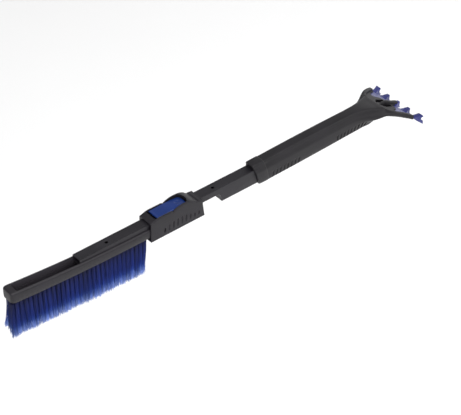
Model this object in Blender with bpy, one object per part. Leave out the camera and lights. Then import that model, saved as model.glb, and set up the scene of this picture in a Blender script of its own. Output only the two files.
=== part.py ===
"""Telescopic snow brush with a fishtail ice scraper.

World frame: the origin is on the lock housing's flat underside, right below the lock pin.
+X runs along the tube to the scraper, +Z is the lever side, and the bristles hang to -Z.
"""
import math

import bmesh
import bpy
from mathutils import Matrix, Vector

MM = 0.001

# height of the slide tube's centreline; the heights below are measured from it
TUBE_AXIS_Z = 28.2

# slide tube
TUBE_HALF_W = 9.8
TUBE_HALF_H = 5.9
TUBE_START_X = -169.0
TUBE_END_X = 262.0
KEEL_START_X = 114.0
KEEL_BOTTOM_Z = -24.0
TUBE_WALL = 1.8
LOCK_HOLE_PITCH = 110.0
LOCK_HOLE_R = 3.0

# brush block
BLOCK_HALF_W = 14.0
BLOCK_START_X = -300.0
BLOCK_END_X = -1.0
BLOCK_ROOT_Z = -20.7
BLOCK_HEIGHT = 17.2
BOW_START_X = -39.0
BOW_K = 1.62e-4
RIM_RISE_K = 5.9e-5
TROUGH_HALF_W = 10.15
TROUGH_FLOOR_Z = -6.25
TROUGH_START_X = -288.0

# bristles
BRISTLE_START_X = -297.0
BRISTLE_END_X = -40.0
BRISTLE_LENGTH = 65.0
BRISTLE_ROW_Y = (-9.6, -3.2, 3.2, 9.6)
BRISTLE_ROW_HALF_T = 2.4
BRISTLE_SPLAY = 0.035

# lock housing
HOUSING_HALF_W = 15.6
HOUSING_FRONT_X = -31.5
HOUSING_BOTTOM_Z = -28.2
SLOT_HALF_W = 12.5
SLOT_FRONT_X = -20.5
SLOT_REAR_X = 50.5
PIVOT_X = 25.0
PIVOT_Z = 9.9

# release lever
LEVER_HALF_W = 12.0
PIVOT_PIN_R = 1.2
PIVOT_BORE_R = 1.5

# scraper end of the grip
RIDGE_X = 484.0
ARM_END_X = 531.0
TOOTH_ROOT_X = 534.0
SLOPE_ANGLE = math.radians(23.3)
TOOTH_TIP_X = 551.0
TOOTH_PITCH = 26.0
BLADE_HALF_W = 55.4
PLATE_TOP = -1.0
PLATE_BOTTOM = -3.7
BLADE_T = 2.0
BLADE_SCREWS = ((530.0, 0.0), (519.0, -44.1), (519.0, 44.1))
GAP = 0.3

# the grip's shoulder flutes fade out where the frame's arms start
FLUTE_END_X = 480.0
FLUTE_FADE = 22.0


def clear_scene():
    for item in list(bpy.data.objects):
        bpy.data.objects.remove(item, do_unlink=True)


def material(name, colour, roughness, metallic=0.0):
    mat = bpy.data.materials.new(name)
    mat.use_nodes = True
    shader = mat.node_tree.nodes["Principled BSDF"]
    shader.inputs["Base Color"].default_value = (*colour, 1.0)
    shader.inputs["Roughness"].default_value = roughness
    shader.inputs["Metallic"].default_value = metallic
    mat.diffuse_color = (*colour, 1.0)
    return mat


def add_object(name, bm, mat=None, origin=(0.0, 0.0, 0.0)):
    """Turn a millimetre bmesh into an object whose origin sits at `origin`."""
    bmesh.ops.translate(bm, verts=bm.verts, vec=-Vector(origin))
    bmesh.ops.scale(bm, verts=bm.verts, vec=(MM, MM, MM))
    bmesh.ops.recalc_face_normals(bm, faces=bm.faces)
    mesh = bpy.data.meshes.new(name)
    bm.to_mesh(mesh)
    bm.free()
    obj = bpy.data.objects.new(name, mesh)
    obj.location = (Vector(origin) + Vector((0.0, 0.0, TUBE_AXIS_Z))) * MM
    bpy.context.scene.collection.objects.link(obj)
    if mat is not None:
        mesh.materials.append(mat)
    return obj


def smooth(obj, angle=35.0):
    obj.data.shade_smooth()
    obj.data.set_sharp_from_angle(angle=math.radians(angle))


def bevel_where(bm, radius, segments, test):
    """Round every edge whose two end points satisfy `test`."""
    edges = [e for e in bm.edges if test(e.verts[0].co, e.verts[1].co)]
    bmesh.ops.bevel(
        bm, geom=edges, offset=radius, segments=segments, profile=0.5,
        affect="EDGES", clamp_overlap=True,
    )


def prism(points, axis, low, high):
    """Closed prism over an outline; axis is the direction it is extruded along."""
    bm = bmesh.new()
    lift = {
        "y": lambda p, t: (p[0], t, p[1]),
        "z": lambda p, t: (p[0], p[1], t),
        "x": lambda p, t: (t, p[0], p[1]),
    }[axis]
    verts = [bm.verts.new(lift(p, low)) for p in points]
    face = bm.faces.new(verts)
    top = bmesh.ops.extrude_face_region(bm, geom=[face])["geom"]
    moved = [g for g in top if isinstance(g, bmesh.types.BMVert)]
    step = Vector(lift((0.0, 0.0), high)) - Vector(lift((0.0, 0.0), low))
    bmesh.ops.translate(bm, verts=moved, vec=step)
    bmesh.ops.recalc_face_normals(bm, faces=bm.faces)
    return bm


def block(x0, x1, y0, y1, z0, z1):
    return prism([(x0, z0), (x1, z0), (x1, z1), (x0, z1)], "y", y0, y1)


def loft(rings):
    """Closed body through rings that all have the same number of points."""
    bm = bmesh.new()
    rows = [[bm.verts.new(p) for p in ring] for ring in rings]
    count = len(rows[0])
    for near, far in zip(rows, rows[1:]):
        for i in range(count):
            j = (i + 1) % count
            bm.faces.new((near[i], near[j], far[j], far[i]))
    bm.faces.new(rows[0])
    bm.faces.new(list(reversed(rows[-1])))
    bmesh.ops.recalc_face_normals(bm, faces=bm.faces)
    return bm


def turned(profile, centre, axis, segments=20):
    """Solid of revolution: profile is (distance along the axis, radius) pairs."""
    direction = Vector(axis).normalized()
    side = direction.orthogonal().normalized()
    up = direction.cross(side)
    rings = []
    for along, radius in profile:
        ring = []
        for i in range(segments):
            a = 2.0 * math.pi * i / segments
            point = Vector(centre) + direction * along
            ring.append(point + (side * math.cos(a) + up * math.sin(a)) * radius)
        rings.append(ring)
    return loft(rings)


def boolean(obj, cutter_bm, kind="DIFFERENCE"):
    """Apply an exact Boolean with a hidden tool body."""
    tool = add_object(f"tool_{obj.name}_{len(obj.modifiers)}", cutter_bm)
    tool.hide_render = True
    tool.display_type = "WIRE"
    mod = obj.modifiers.new("cut", "BOOLEAN")
    mod.operation = kind
    mod.solver = "EXACT"
    mod.object = tool
    return tool


def bow(x):
    """The brush block curves up gently towards its far end."""
    return BOW_K * (x - BOW_START_X) ** 2 if x < BOW_START_X else 0.0


def block_top(x):
    """Height of the block's rims, which rise a little faster than its root face."""
    rise = RIM_RISE_K * (x - BOW_START_X) ** 2 if x < BOW_START_X else 0.0
    return BLOCK_ROOT_Z + BLOCK_HEIGHT + bow(x) + rise


def spaced(low, high, count):
    return [low + (high - low) * i / (count - 1) for i in range(count)]


def make_slide_tube(mat):
    """Box tube whose keel starts with a rounded notch; both ends are open."""
    notch = [(KEEL_START_X, -TUBE_HALF_H)]
    for step in range(1, 7):
        a = math.radians(90.0 * step / 6)
        rise = (KEEL_BOTTOM_Z + TUBE_HALF_H) * (1.0 - math.cos(a))
        notch.append((KEEL_START_X + 9.0 * math.sin(a), -TUBE_HALF_H + rise))
    outline = [
        (TUBE_START_X, TUBE_HALF_H), (TUBE_START_X, -TUBE_HALF_H), *notch,
        (TUBE_END_X, KEEL_BOTTOM_Z), (TUBE_END_X, TUBE_HALF_H),
    ]
    bm = prism(outline, "y", -TUBE_HALF_W, TUBE_HALF_W)
    bevel_where(bm, 1.1, 3, lambda a, b: abs(a.y - b.y) < 0.01 and a.z < -19.0 and a.x > 250.0)
    bevel_where(
        bm, 1.2, 3,
        lambda a, b: abs(a.y - b.y) < 0.01 and abs(a.z - b.z) < 0.01 and abs(a.x - b.x) > 20.0,
    )
    tube = add_object("slide_tube", bm, mat)
    inner_w = TUBE_HALF_W - TUBE_WALL
    inner_h = TUBE_HALF_H - TUBE_WALL
    boolean(tube, block(TUBE_START_X - 5, TUBE_END_X + 5, -inner_w, inner_w, -inner_h, inner_h))
    keel_inner_x = KEEL_START_X + 9.0
    boolean(
        tube,
        block(keel_inner_x, TUBE_END_X + 5, -inner_w, inner_w, KEEL_BOTTOM_Z + TUBE_WALL, 0.0),
    )
    for x in (-LOCK_HOLE_PITCH, 0.0, LOCK_HOLE_PITCH):
        boolean(tube, turned([(0.0, LOCK_HOLE_R), (12.0, LOCK_HOLE_R)], (x, 0, 0), (0, 0, 1)))
    for x in (236.0, 250.0):
        boolean(tube, turned([(-30.0, 1.9), (-15.0, 1.9)], (x, 0, 0), (0, 0, 1), 16))
    smooth(tube)
    return tube


def block_section(x, z_root, z_top):
    """Brush block section: a soft rounded box, a touch narrower at the bristle face."""
    w = BLOCK_HALF_W
    half = [
        (w - 3.0, z_root), (w - 1.4, z_root + 0.5), (w - 0.9, z_root + 2.2),
        (w, z_root + 7.0), (w, z_top - 2.8), (w - 1.0, z_top - 1.0), (w - 2.8, z_top),
    ]
    right = [(x, y, z) for y, z in half]
    left = [(x, -y, z) for y, z in reversed(half)]
    return right + left


def make_brush_block(mat):
    """Bowed block with a rounded far end and a trough for the tube."""
    rings = []
    nose = [(0.0, 0.62), (0.6, 0.80), (2.0, 0.91), (5.0, 0.985), (9.0, 1.0)]
    for dx, shrink in nose:
        x = BLOCK_START_X + dx
        root = BLOCK_ROOT_Z + bow(x)
        top = block_top(x)
        mid = (root + top) / 2
        height = 0.5 + 0.5 * shrink
        ring = block_section(x, root, top)
        rings.append([(px, py * shrink, mid + (pz - mid) * height) for px, py, pz in ring])
    for x in spaced(BLOCK_START_X + 24.0, BLOCK_END_X, 14):
        root = BLOCK_ROOT_Z + bow(x)
        rings.append(block_section(x, root, block_top(x)))
    body = add_object("brush_block", loft(rings), mat)
    trough = block(
        TROUGH_START_X, BLOCK_END_X + 5.0, -TROUGH_HALF_W, TROUGH_HALF_W, TROUGH_FLOOR_Z, 40.0
    )
    bevel_where(trough, 3.0, 4, lambda a, b: a.x < -280.0 and b.x < -280.0 and abs(a.z - b.z) > 9.0)
    boolean(body, trough)
    channel = []
    for x in spaced(-270.0, -32.0, 8):
        low = BLOCK_ROOT_Z + 3.2 + bow(x)
        high = TROUGH_FLOOR_Z + 2.0
        channel.append([(x, -4.6, low), (x, 4.6, low), (x, 4.6, high), (x, -4.6, high)])
    boolean(body, loft(channel))
    for x in (-19.0, -9.0):
        boolean(body, turned([(-24.0, 1.3), (-15.0, 1.3)], (x, 0, 0), (0, 0, 1), 16))
    smooth(body)
    return body


def make_bristle_row(index, mat):
    """One packed row of bristles, splayed outwards a little and fanned at both ends."""
    y_root = BRISTLE_ROW_Y[index]
    rings = []
    stations = spaced(0.0, 1.0, 14)
    for s in stations:
        x_root = BRISTLE_START_X + 2.0 + (BRISTLE_END_X - BRISTLE_START_X - 4.0) * s
        root = BLOCK_ROOT_Z + bow(x_root) - GAP
        fan = -3.0 * (1.0 - s) ** 3 - 2.0 * s ** 3
        ring = []
        for down in (0.0, 0.5, 1.0):
            z = root - BRISTLE_LENGTH * down
            y = y_root + y_root * BRISTLE_SPLAY * 4.0 * down ** 1.5
            half = BRISTLE_ROW_HALF_T
            ring.append((x_root + fan * down, y + half, z))
        mirror = []
        for px, py, pz in reversed(ring):
            mirror.append((px, py - 2.0 * BRISTLE_ROW_HALF_T, pz))
        rings.append(ring + mirror)
    row = add_object(f"bristle_row_{index + 1}", loft(rings), mat)
    smooth(row)
    return row


def housing_outline():
    """Side profile: sloped bonnet, level sill beside the lever, arched guard behind it."""
    points = [
        (HOUSING_FRONT_X, HOUSING_BOTTOM_Z), (80.5, HOUSING_BOTTOM_Z), (77.0, -4.0),
        (76.6, 6.8), (73.2, 6.9), (71.6, 7.5), (68.6, 7.7), (66.6, 7.3),
    ]
    for step in range(9):
        a = math.radians(24.0 + 16.0 * step)
        points.append((38.0 + 24.0 * math.cos(a), 6.8 + 11.0 * math.sin(a)))
    points += [(15.0, 14.1), (-15.0, 14.3), (-20.5, 13.4), (HOUSING_FRONT_X, 9.8)]
    return points


def make_lock_housing(mat):
    """Sleeve round the tube and the block's end, with the lever slot and guard walls."""
    bm = prism(housing_outline(), "y", -HOUSING_HALF_W, HOUSING_HALF_W)
    bevel_where(
        bm, 2.2, 3,
        lambda a, b: abs(a.y - b.y) < 0.01 and a.z > 0.0 and b.z > 0.0,
    )
    bevel_where(
        bm, 1.6, 3,
        lambda a, b: (a - b).length > 20.0 and abs(a.x - b.x) < 0.1 and a.x < -30.0,
    )
    housing = add_object("lock_housing", bm, mat)
    passage_w = TUBE_HALF_W + 0.35
    boolean(housing, block(-40.0, 95.0, -passage_w, passage_w, -7.4, TUBE_HALF_H + 0.35))
    socket_w = BLOCK_HALF_W + 0.35
    socket_top = BLOCK_ROOT_Z + BLOCK_HEIGHT + 0.35
    boolean(housing, block(-40.0, 0.2, -socket_w, socket_w, BLOCK_ROOT_Z - 0.35, socket_top))
    boolean(housing, block(-0.1, 95.0, -passage_w, passage_w, KEEL_BOTTOM_Z - 0.5, -5.0))
    web_half = 6.5
    front_bay = [(SLOT_FRONT_X, -SLOT_HALF_W), (-web_half, -SLOT_HALF_W)]
    front_bay += [(-web_half, SLOT_HALF_W), (SLOT_FRONT_X, SLOT_HALF_W)]
    boolean(housing, prism(front_bay, "z", 6.05, 60.0))
    boolean(housing, block(-9.0, 9.0, -SLOT_HALF_W, SLOT_HALF_W, 8.0, 60.0))
    rear_bay = [(web_half, -SLOT_HALF_W)]
    centre_x = SLOT_REAR_X - 9.0
    for step in range(9):
        a = math.radians(-90.0 + 180.0 * step / 8)
        rear_bay.append((centre_x + 9.0 * math.cos(a), SLOT_HALF_W * math.sin(a)))
    rear_bay.append((web_half, SLOT_HALF_W))
    boolean(housing, prism(rear_bay, "z", 6.05, 60.0))
    boolean(housing, turned([(0.0, 2.9), (20.0, 2.9)], (0, 0, 0), (0, 0, 1), 20))
    bore = turned([(-14.6, 1.5), (14.6, 1.5)], (PIVOT_X, 0, PIVOT_Z), (0, 1, 0), 20)
    boolean(housing, bore)
    for step in range(9):
        x = -4.3 + 8.9 * step
        low = HOUSING_BOTTOM_Z + 5.2 + 0.3 * step
        high = low + 8.5 + 8.5 * math.sin(math.pi * min(1.0, (step + 0.6) / 7.5))
        for side in (-1.0, 1.0):
            inner = side * (HOUSING_HALF_W - 1.2)
            outer = side * (HOUSING_HALF_W + 2.0)
            groove = block(x, x + 3.4, min(inner, outer), max(inner, outer), low, high)
            boolean(housing, groove)
    for x in (-19.0, -9.0):
        profile = [(-32.0, 3.0), (-26.1, 3.0), (-26.1, 1.5), (-18.0, 1.5)]
        boolean(housing, turned(profile, (x, 0, 0), (0, 0, 1), 20))
    smooth(housing)
    return housing


def make_release_lever(mat):
    """See-saw lever: flat nose over the lock pin, dished thumb pad behind the pivot."""
    top = [(-15.6, 12.8), (-14.6, 13.5), (-8.0, 13.9), (8.0, 14.2), (22.0, 14.1), (34.0, 13.6),
           (43.0, 12.7), (48.6, 11.0)]
    bottom = [(48.6, 9.3), (30.0, 10.6), (28.4, 9.2), (27.0, 7.8), (25.0, 7.1), (23.0, 7.8),
              (21.6, 9.2), (20.0, 10.9), (8.0, 11.6), (-8.0, 11.6), (-15.6, 10.9)]
    bm = prism(top + bottom, "y", -LEVER_HALF_W, LEVER_HALF_W)
    lever = add_object("release_lever", bm, mat, (PIVOT_X, 0.0, PIVOT_Z))
    outline = [(-40.0, -LEVER_HALF_W)]
    for step in range(11):
        a = math.radians(-90.0 + 180.0 * step / 10)
        outline.append((39.9 + 8.7 * math.cos(a), LEVER_HALF_W * math.sin(a)))
    outline.append((-40.0, LEVER_HALF_W))
    boolean(lever, prism(outline, "z", 0.0, 40.0), "INTERSECT")
    dish = bmesh.new()
    bmesh.ops.create_uvsphere(dish, u_segments=24, v_segments=14, radius=16.0)
    bmesh.ops.translate(dish, verts=dish.verts, vec=(36.5, 0.0, 28.3))
    boolean(lever, dish)
    boolean(lever, block(19.4, 30.6, -4.3, 4.3, 5.0, 12.4))
    bore = turned([(-20, PIVOT_BORE_R), (20, PIVOT_BORE_R)], (PIVOT_X, 0, PIVOT_Z), (0, 1, 0), 20)
    boolean(lever, bore)
    smooth(lever)
    return lever


def make_pivot_pin(mat):
    profile = [(-14.2, 0.9), (-13.8, PIVOT_PIN_R), (13.8, PIVOT_PIN_R), (14.2, 0.9)]
    pin = add_object("lever_pivot_pin", turned(profile, (PIVOT_X, 0, PIVOT_Z), (0, 1, 0)), mat)
    smooth(pin)
    return pin


def make_lock_pin(mat):
    """Headed steel pin; its tip hangs just above the tube when the lever is level."""
    profile = [(6.2, 1.7), (6.7, 2.5), (10.4, 2.5), (10.4, 3.2), (10.9, 3.2), (11.1, 2.9)]
    pin = add_object("lock_pin", turned(profile, (0, 0, 0), (0, 0, 1)), mat)
    smooth(pin)
    return pin


def make_lever_spring(mat):
    """Torsion spring wound round the pivot pin, in the lever's middle slot."""
    wire_r = 0.3
    coil_r = 1.95
    turns = 6
    per_turn = 14
    path = [Vector((PIVOT_X + 4.6, -3.2, PIVOT_Z - coil_r))]
    for i in range(turns * per_turn + 1):
        a = -0.5 * math.pi + 2.0 * math.pi * i / per_turn
        y = -3.2 + 6.4 * i / (turns * per_turn)
        path.append(Vector((PIVOT_X - coil_r * math.cos(a), y, PIVOT_Z + coil_r * math.sin(a))))
    path.append(Vector((PIVOT_X + 4.6, 3.2, PIVOT_Z - coil_r)))
    rings = []
    for i, point in enumerate(path):
        ahead = path[min(i + 1, len(path) - 1)]
        behind = path[max(i - 1, 0)]
        tangent = (ahead - behind).normalized()
        side = tangent.cross(Vector((0.0, 1.0, 0.0))).normalized()
        up = side.cross(tangent)
        ring = []
        for k in range(6):
            a = 2.0 * math.pi * k / 6
            ring.append(point + (side * math.cos(a) + up * math.sin(a)) * wire_r)
        rings.append(ring)
    spring = add_object("lever_spring", loft(rings), mat)
    smooth(spring, 50.0)
    return spring


def make_screw(name, x, z_head, mat, y=0.0, head_r=2.6, shank_r=1.05, length=7.0, slope=0.0):
    """Pan head screw that points up, with a cross recess in its head."""
    profile = [
        (0.0, head_r * 0.7), (0.5, head_r), (1.6, head_r), (1.6, shank_r), (length, shank_r),
        (length + 0.6, shank_r * 0.4),
    ]
    direction = (math.sin(slope), 0.0, math.cos(slope))
    centre = (x, y, z_head)
    screw = add_object(name, turned(profile, centre, direction, 20), mat)
    for turn in (0.0, math.pi / 2):
        arm = block(-1.5, 1.5, -0.3, 0.3, -1.0, 0.8)
        place = Matrix.Translation(centre) @ Matrix.Rotation(slope, 4, "Y")
        place = place @ Matrix.Rotation(turn, 4, "Z")
        bmesh.ops.transform(arm, matrix=place, verts=arm.verts)
        boolean(screw, arm)
    smooth(screw)
    return screw


GRIP_SECTION = (
    (0.00, 1.000), (0.48, 0.995), (0.64, 0.970), (0.71, 0.915), (0.76, 0.840), (0.85, 0.770),
    (0.95, 0.710), (1.00, 0.630), (1.00, 0.480), (0.985, 0.300), (0.94, 0.160),
    (0.84, 0.060), (0.66, 0.010), (0.40, 0.000), (0.00, 0.000),
)


def grip_ring(x, half_w, z_top, z_bottom, lean=0.0, belly=None):
    """Grip section: flat top, a hollow flute along each shoulder, rounded belly."""
    h = z_top - z_bottom
    belly = half_w if belly is None else belly
    filled = min(0.9, max(0.0, (x - FLUTE_END_X) / FLUTE_FADE))
    right = []
    for u, v in GRIP_SECTION:
        if 0.6 < v < 0.97:
            v += filled * (0.97 - v)
        blend = min(1.0, max(0.0, (v - 0.16) / 0.40))
        width = belly + (half_w - belly) * blend * blend * (3.0 - 2.0 * blend)
        right.append((x + lean * (1 - v), width * u, z_bottom + h * v))
    left = [(px, -py, pz) for px, py, pz in reversed(right[1:-1])]
    return right + left


def make_grip_frame(mat):
    """Grip that flares into the scraper frame; one moulding."""
    stations = [
        (190.0, 14.0, 15.2, -28.4, 15.0), (191.0, 14.8, 15.9, -29.2, 15.0),
        (203.0, 15.0, 16.2, -29.4, 13.5), (213.5, 15.0, 16.4, -29.5, 11.0),
        (215.5, 14.4, 15.7, -29.4, 10.5), (229.0, 14.4, 16.1, -29.2, 3.0),
        (262.0, 14.4, 17.1, -28.7, 0.0), (300.0, 14.5, 18.0, -27.9, 0.0),
        (345.0, 14.5, 18.6, -26.6, 0.0), (385.0, 14.6, 18.8, -25.2, 0.0),
        (415.0, 14.9, 18.6, -24.4, 0.0, 14.2), (435.0, 16.6, 18.0, -24.2, 0.0, 13.8),
        (450.0, 20.2, 16.8, -24.0, 0.0, 13.2), (463.0, 25.2, 14.8, -23.0, 0.0, 12.8),
        (471.0, 28.8, 13.2, -20.6, 0.0, 13.6), (477.0, 31.6, 11.9, -16.4, 0.0, 16.6),
        (484.0, 35.0, 10.6, -12.0, 0.0, 23.0),
    ]
    rings = [grip_ring(*station) for station in stations]
    head = [
        (493.0, 40.0, 7.6, -10.0, 0.0, 32.0), (503.0, 45.0, 4.4, -10.6, 0.0, 41.0),
        (514.0, 49.5, 0.4, -12.9), (524.0, 53.5, -4.2, -17.8), (533.0, 56.6, -9.2, -22.0),
        (540.0, 58.0, -13.4, -25.0),
    ]
    rings += [grip_ring(*station) for station in head]
    body = loft(rings)
    bmesh.ops.triangulate(body, faces=body.faces)
    grip = add_object("grip_frame", body, mat)
    bore_w = TUBE_HALF_W + 0.4
    boolean(grip, block(150.0, TUBE_END_X + 1.0, -bore_w, bore_w, KEEL_BOTTOM_Z - 0.4, 6.4))
    cut_scoop(grip)
    cut_grip_ribs(grip)
    for x in (236.0, 250.0):
        profile = [(-36.0, 3.0), (-26.6, 3.0), (-26.6, 1.4), (-22.6, 1.4)]
        boolean(grip, turned(profile, (x, 0, 0), (0, 0, 1), 20))
    smooth(grip)
    return grip


def frame_slope(x):
    """Height of the sloping plane that runs from the ridge to the teeth."""
    return 9.0 - (x - RIDGE_X) * 0.43


def sloped_pocket(outline, above, below):
    """Prism whose two faces follow the frame's slope, over an outline in plan."""
    lower = [(x, y, frame_slope(x) + below) for x, y in outline]
    upper = [(x, y, frame_slope(x) + above) for x, y in outline]
    return loft([lower, upper])


def mirrored(half):
    """Outline in plan that is symmetric about the handle's axis."""
    return half + [(x, -y) for x, y in reversed(half)]


def slope_axis(x, y):
    """Point on the frame's plane and the direction square to it."""
    return (x, y, frame_slope(x)), (math.sin(SLOPE_ANGLE), 0.0, math.cos(SLOPE_ANGLE))


def cut_scoop(grip):
    """Open the frame: sunken plate, two windows, two deep sockets beside a centre spine."""
    box = [(490.5, -16.5), (522.0, -16.5)]
    boolean(grip, sloped_pocket(mirrored(box), -0.5, -14.0), "UNION")
    sunken = [(486.5, -27.0), (500.0, -36.0), (514.0, -43.0), (526.0, -48.0), (550.0, -54.0)]
    boolean(grip, sloped_pocket(mirrored(sunken), 30.0, PLATE_TOP))
    belly = [(505.0, -25.0), (503.5, -36.0), (509.0, -43.6), (523.0, -51.6), (533.0, -54.6)]
    belly += [(551.0, -57.3)]
    belly = mirrored(belly) + [(505.0, 18.5), (523.0, 16.9), (523.0, -16.9), (505.0, -18.5)]
    boolean(grip, sloped_pocket(belly, PLATE_BOTTOM, -40.0))
    for side in (-1.0, 1.0):
        low, high = sorted((side * 9.0, side * 70.0))
        boolean(grip, block(ARM_END_X, 560.0, low, high, -60.0, 12.0))
        bay = [(526.0, 6.6), (524.0, 9.0), (522.5, 16.0), (519.5, 22.0), (511.5, 25.0)]
        bay += [(510.0, 31.0), (513.0, 38.0), (519.0, 41.8), (525.0, 44.6), (534.0, 48.5)]
        bay += [(549.0, 51.0), (549.0, 6.2), (536.0, 6.2)]
        boolean(grip, sloped_pocket([(x, side * y) for x, y in bay], 40.0, -41.0))
        socket = [(493.5, 4.0), (512.0, 3.0), (519.0, 5.0), (519.5, 13.0), (503.0, 14.3)]
        boolean(grip, sloped_pocket([(x, side * y) for x, y in socket], 20.0, -12.5))
    boolean(grip, block(TOOTH_ROOT_X - 0.4, 560.0, -10.0, 10.0, -60.0, 10.0))
    boolean(grip, loft(spine_rings()), "UNION")
    under = [(TOOTH_ROOT_X - 0.3, -9.5), (548.0, -9.5)]
    lower = [(x, y, -60.0) for x, y in mirrored(under)]
    upper = [(x, y, tooth_top(x) + 0.35) for x, y in mirrored(under)]
    boolean(grip, loft([lower, upper]))
    for x, y in BLADE_SCREWS:
        point, normal = slope_axis(x, y)
        boolean(grip, turned([(-20.0, 1.3), (-1.9, 1.3)], point, normal, 16))


def tooth_top(x):
    """Height of the blade's upper face; it rises towards the tips of the teeth."""
    tip = max(0.0, (x - TOOTH_ROOT_X) / (TOOTH_TIP_X - TOOTH_ROOT_X))
    return frame_slope(x) + PLATE_BOTTOM - GAP + 7.6 * tip


def spine_rings():
    """Raised spine between the sockets; it rises out of the plate and ends over a tooth."""
    rings = []
    shape = ((499.0, 0.9, 0.3), (506.0, 1.9, 3.0), (516.0, 2.8, 6.0), (528.0, 3.2, 4.6),
             (543.0, 3.3, 4.6))
    for x, half, rise in shape:
        low = frame_slope(x) + PLATE_TOP - 0.6
        top = frame_slope(x) + PLATE_TOP + rise
        edge = [(half + 0.9, low), (half + 0.6, top - 0.3 * rise), (half * 0.6, top)]
        ring = [(x, y, z) for y, z in edge]
        rings.append(ring + [(px, -py, pz) for px, py, pz in reversed(ring)])
    return rings


def cut_grip_ribs(grip):
    """Finger grooves low on both sides, in two groups."""
    groups = ((232.7, 8, -29.0), (382.6, 7, -25.0))
    for start, count, z_bottom in groups:
        for step in range(count):
            x = start + 8.4 * step
            depth = 0.9 + 0.07 * max(0.0, x - 425.0)
            inner = []
            for u, v in GRIP_SECTION[9:13]:
                inner.append((14.4 * u - depth, z_bottom + 0.015 * (x - start) + 44.0 * v))
            outline = inner + [(18.0, inner[-1][1]), (18.0, inner[0][1])]
            for side in (-1.0, 1.0):
                boolean(grip, prism([(side * y, z) for y, z in outline], "x", x, x + 3.4))


def cut_blade_teeth(blade):
    """Five teeth that rise from the strip's front edge, with scallops between them."""
    for index in range(-2, 3):
        y = TOOTH_PITCH * index
        rings = []
        shape = ((532.0, 10.0, 0.5, -1.0), (536.0, 8.0, 0.0, 0.2), (541.0, 6.0, 0.0, 1.0),
                 (TOOTH_TIP_X, 3.2, 0.0, 6.4 if abs(index) == 2 else 4.2))
        for x, half, sunk, drop in shape:
            top = tooth_top(x) - sunk
            low = frame_slope(x) + PLATE_BOTTOM - GAP - BLADE_T - drop
            left = max(y - half, -BLADE_HALF_W)
            right = min(y + half, BLADE_HALF_W)
            back = x - 1.2 if x == TOOTH_TIP_X else x
            rings.append([(x, left, low), (x, right, low), (back, right, top), (back, left, top)])
        boolean(blade, loft(rings), "UNION")
    for index in range(-2, 2):
        centre = (544.0, TOOTH_PITCH * (index + 0.5), 0.0)
        boolean(blade, turned([(-50.0, 8.2), (0.0, 8.2)], centre, (0, 0, 1), 24))
    notch = (TOOTH_TIP_X + 2.2, 0.0, frame_slope(TOOTH_TIP_X) - 3.0)
    boolean(blade, turned([(-70.0, 4.6), (70.0, 4.6)], notch, (0, 1, 0), 24))


def make_ice_blade(mat):
    """Toothed blade: a sloping strip with five forked teeth on its front edge."""
    half = [(523.6, 0.0), (523.6, 24.0), (524.0, 35.0), (526.0, 40.8), (517.0, 41.6)]
    half += [(515.0, 43.8), (523.0, 49.8), (529.0, 52.2), (534.0, 53.8), (536.2, 54.6)]
    outline = half + [(x, -y) for x, y in reversed(half[1:])]
    top = PLATE_BOTTOM - GAP
    blade = add_object("ice_blade", sloped_pocket(outline, top, top - BLADE_T), mat)
    cut_blade_teeth(blade)
    for x, y in BLADE_SCREWS:
        point, normal = slope_axis(x, y)
        boolean(blade, turned([(-20.0, 1.35), (5.0, 1.35)], point, normal, 16))
    smooth(blade)
    return blade


def main():
    clear_scene()
    black = material("black_plastic", (0.040, 0.039, 0.043), 0.46)
    black_soft = material("black_grip", (0.046, 0.045, 0.049), 0.52)
    black_tube = material("black_tube", (0.043, 0.042, 0.046), 0.42)
    blue = material("blue_lever", (0.022, 0.070, 0.330), 0.38)
    violet = material("blue_blade", (0.060, 0.058, 0.330), 0.30)
    bristle = material("blue_bristle", (0.016, 0.030, 0.210), 0.50)
    steel = material("steel", (0.60, 0.61, 0.63), 0.30, 1.0)
    make_slide_tube(black_tube)
    make_brush_block(black)
    for index in range(len(BRISTLE_ROW_Y)):
        make_bristle_row(index, bristle)
    make_lock_housing(black)
    make_release_lever(blue)
    make_pivot_pin(steel)
    make_lock_pin(steel)
    make_lever_spring(steel)
    for index, x in enumerate((-19.0, -9.0)):
        make_screw(f"housing_screw_{index + 1}", x, -28.0, steel, length=9.8)
    for index, x in enumerate((236.0, 250.0)):
        make_screw(f"tube_screw_{index + 1}", x, -28.6, steel, length=7.5)
    for index, (x, y) in enumerate(BLADE_SCREWS):
        point, normal = slope_axis(x, y)
        head = Vector(point) - Vector(normal) * 7.5
        name = f"blade_screw_{index + 1}"
        make_screw(name, head.x, head.z, steel, y, 2.1, 1.05, 4.7, SLOPE_ANGLE)
    make_grip_frame(black_soft)
    make_ice_blade(violet)


main()
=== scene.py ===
"""Looks of a telescopic snow brush with a fishtail ice scraper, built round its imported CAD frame.

Lengths in the shape functions are millimetres in the frame's axes: +X runs along the tube to the
scraper, +Z is the lever side, and the bristles hang to -Z. Pieces are scaled to metres once made.
"""

import math
import random

import bmesh
import bpy
from mathutils import Matrix, Vector


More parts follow.
